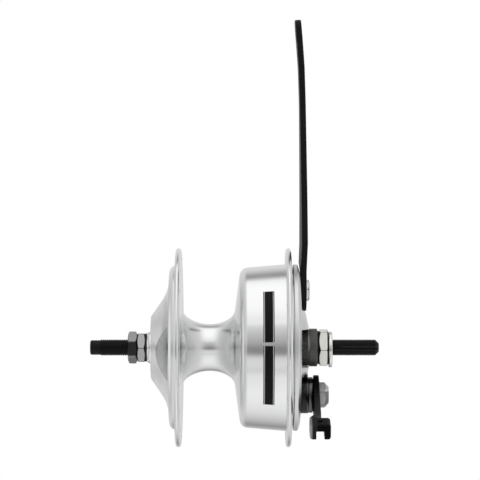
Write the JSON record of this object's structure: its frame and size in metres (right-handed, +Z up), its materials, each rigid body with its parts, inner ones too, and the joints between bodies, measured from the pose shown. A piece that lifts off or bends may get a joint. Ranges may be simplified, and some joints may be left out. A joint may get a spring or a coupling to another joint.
{
  "type": "drum brake front hub",
  "caption": "Bicycle front hub with a drum brake: spoked-wheel shell with two flanges, brake plate with reaction arm, cam lever, shoes, bearings and solid axle.",
  "frame": {"origin": "on the axle's axis, half way between the two faces that meet the fork ends", "axes": "+X along the axle to the brake side (the bicycle's left), +Z up with the reaction arm, -Y forward"},
  "size_m": [0.1441, 0.1005, 0.2131],
  "materials": {
    "polished_aluminium": "polished",
    "satin_aluminium": "satin",
    "black_steel": "satin",
    "dark_steel": "satin",
    "chrome": "polished",
    "nickel": "satin",
    "zinc": "satin",
    "bearing_steel": "polished",
    "seal_rubber": "matte",
    "cast_iron": "machined",
    "friction_lining": "matte",
    "spring_steel": "satin"
  },
  "bodies": {
    "axle_set": {"axle": "black_steel", "left_outer_locknut": "chrome", "left_inner_locknut": "chrome", "left_seal_washer": "seal_rubber", "left_bearing_cap": "chrome", "left_inner_race": "bearing_steel", "right_inner_race": "bearing_steel", "distance_tube": "zinc", "right_bearing_sleeve": "zinc", "brake_plate": "satin_aluminium", "right_spacer": "dark_steel", "right_lock_washer": "black_steel", "right_locknut": "nickel", "right_loose_washer": "nickel", "anchor_pin": "zinc", "anchor_nut": "chrome", "reaction_arm": "black_steel", "cam_bush": "black_steel", "cam_side_spring": "spring_steel", "anchor_side_spring": "spring_steel"},
    "shell": {"hub_shell": "polished_aluminium", "drum_liner": "cast_iron", "left_outer_race": "bearing_steel", "left_bearing_left_seal": "seal_rubber", "left_bearing_right_seal": "seal_rubber", "right_outer_race": "bearing_steel", "right_bearing_left_seal": "seal_rubber", "right_bearing_right_seal": "seal_rubber"},
    "left_ball_set": {"left_balls": "bearing_steel", "left_ball_cage": "zinc"},
    "right_ball_set": {"right_balls": "bearing_steel", "right_ball_cage": "zinc"},
    "cam_lever": {"cam_spindle": "zinc", "brake_lever": "black_steel", "lever_nut": "zinc"},
    "front_shoe_set": {"front_shoe": "satin_aluminium", "front_lining": "friction_lining"},
    "rear_shoe_set": {"rear_shoe": "satin_aluminium", "rear_lining": "friction_lining"}
  },
  "joints": [
    {"name": "hub_spin", "type": "hinge", "parent": "axle_set", "child": "shell", "pos_m": [0, 0, 0], "axis": [1, 0, 0], "continuous": true},
    {"name": "left_balls_roll", "type": "hinge", "parent": "axle_set", "child": "left_ball_set", "pos_m": [-0.0339, 0, 0], "axis": [1, 0, 0], "continuous": true},
    {"name": "right_balls_roll", "type": "hinge", "parent": "axle_set", "child": "right_ball_set", "pos_m": [0.0086, 0, 0], "axis": [1, 0, 0], "continuous": true},
    {"name": "cam_turn", "type": "hinge", "parent": "axle_set", "child": "cam_lever", "pos_m": [0.04, 0, -0.0237], "axis": [-1, 0, 0], "range_deg": [0, 20], "stiffness_Nm_per_rad": 0.8, "springref_deg": -11.46},
    {"name": "front_shoe_swing", "type": "hinge", "parent": "axle_set", "child": "front_shoe_set", "pos_m": [0.021, 0, 0.0285], "axis": [-1, 0, 0], "range_deg": [0, 1.25], "deforming": ["cam_side_spring", "anchor_side_spring"]},
    {"name": "rear_shoe_swing", "type": "hinge", "parent": "axle_set", "child": "rear_shoe_set", "pos_m": [0.021, 0, 0.0285], "axis": [1, 0, 0], "range_deg": [0, 1.25]}
  ],
  "couplings": [
    {"joint": "left_balls_roll", "follows": "hub_spin", "ratio": 0.61905},
    {"joint": "right_balls_roll", "follows": "hub_spin", "ratio": 0.61905},
    {"joint": "front_shoe_swing", "follows": "cam_turn", "ratio": 0.0625},
    {"joint": "rear_shoe_swing", "follows": "cam_turn", "ratio": 0.0625}
  ]
}
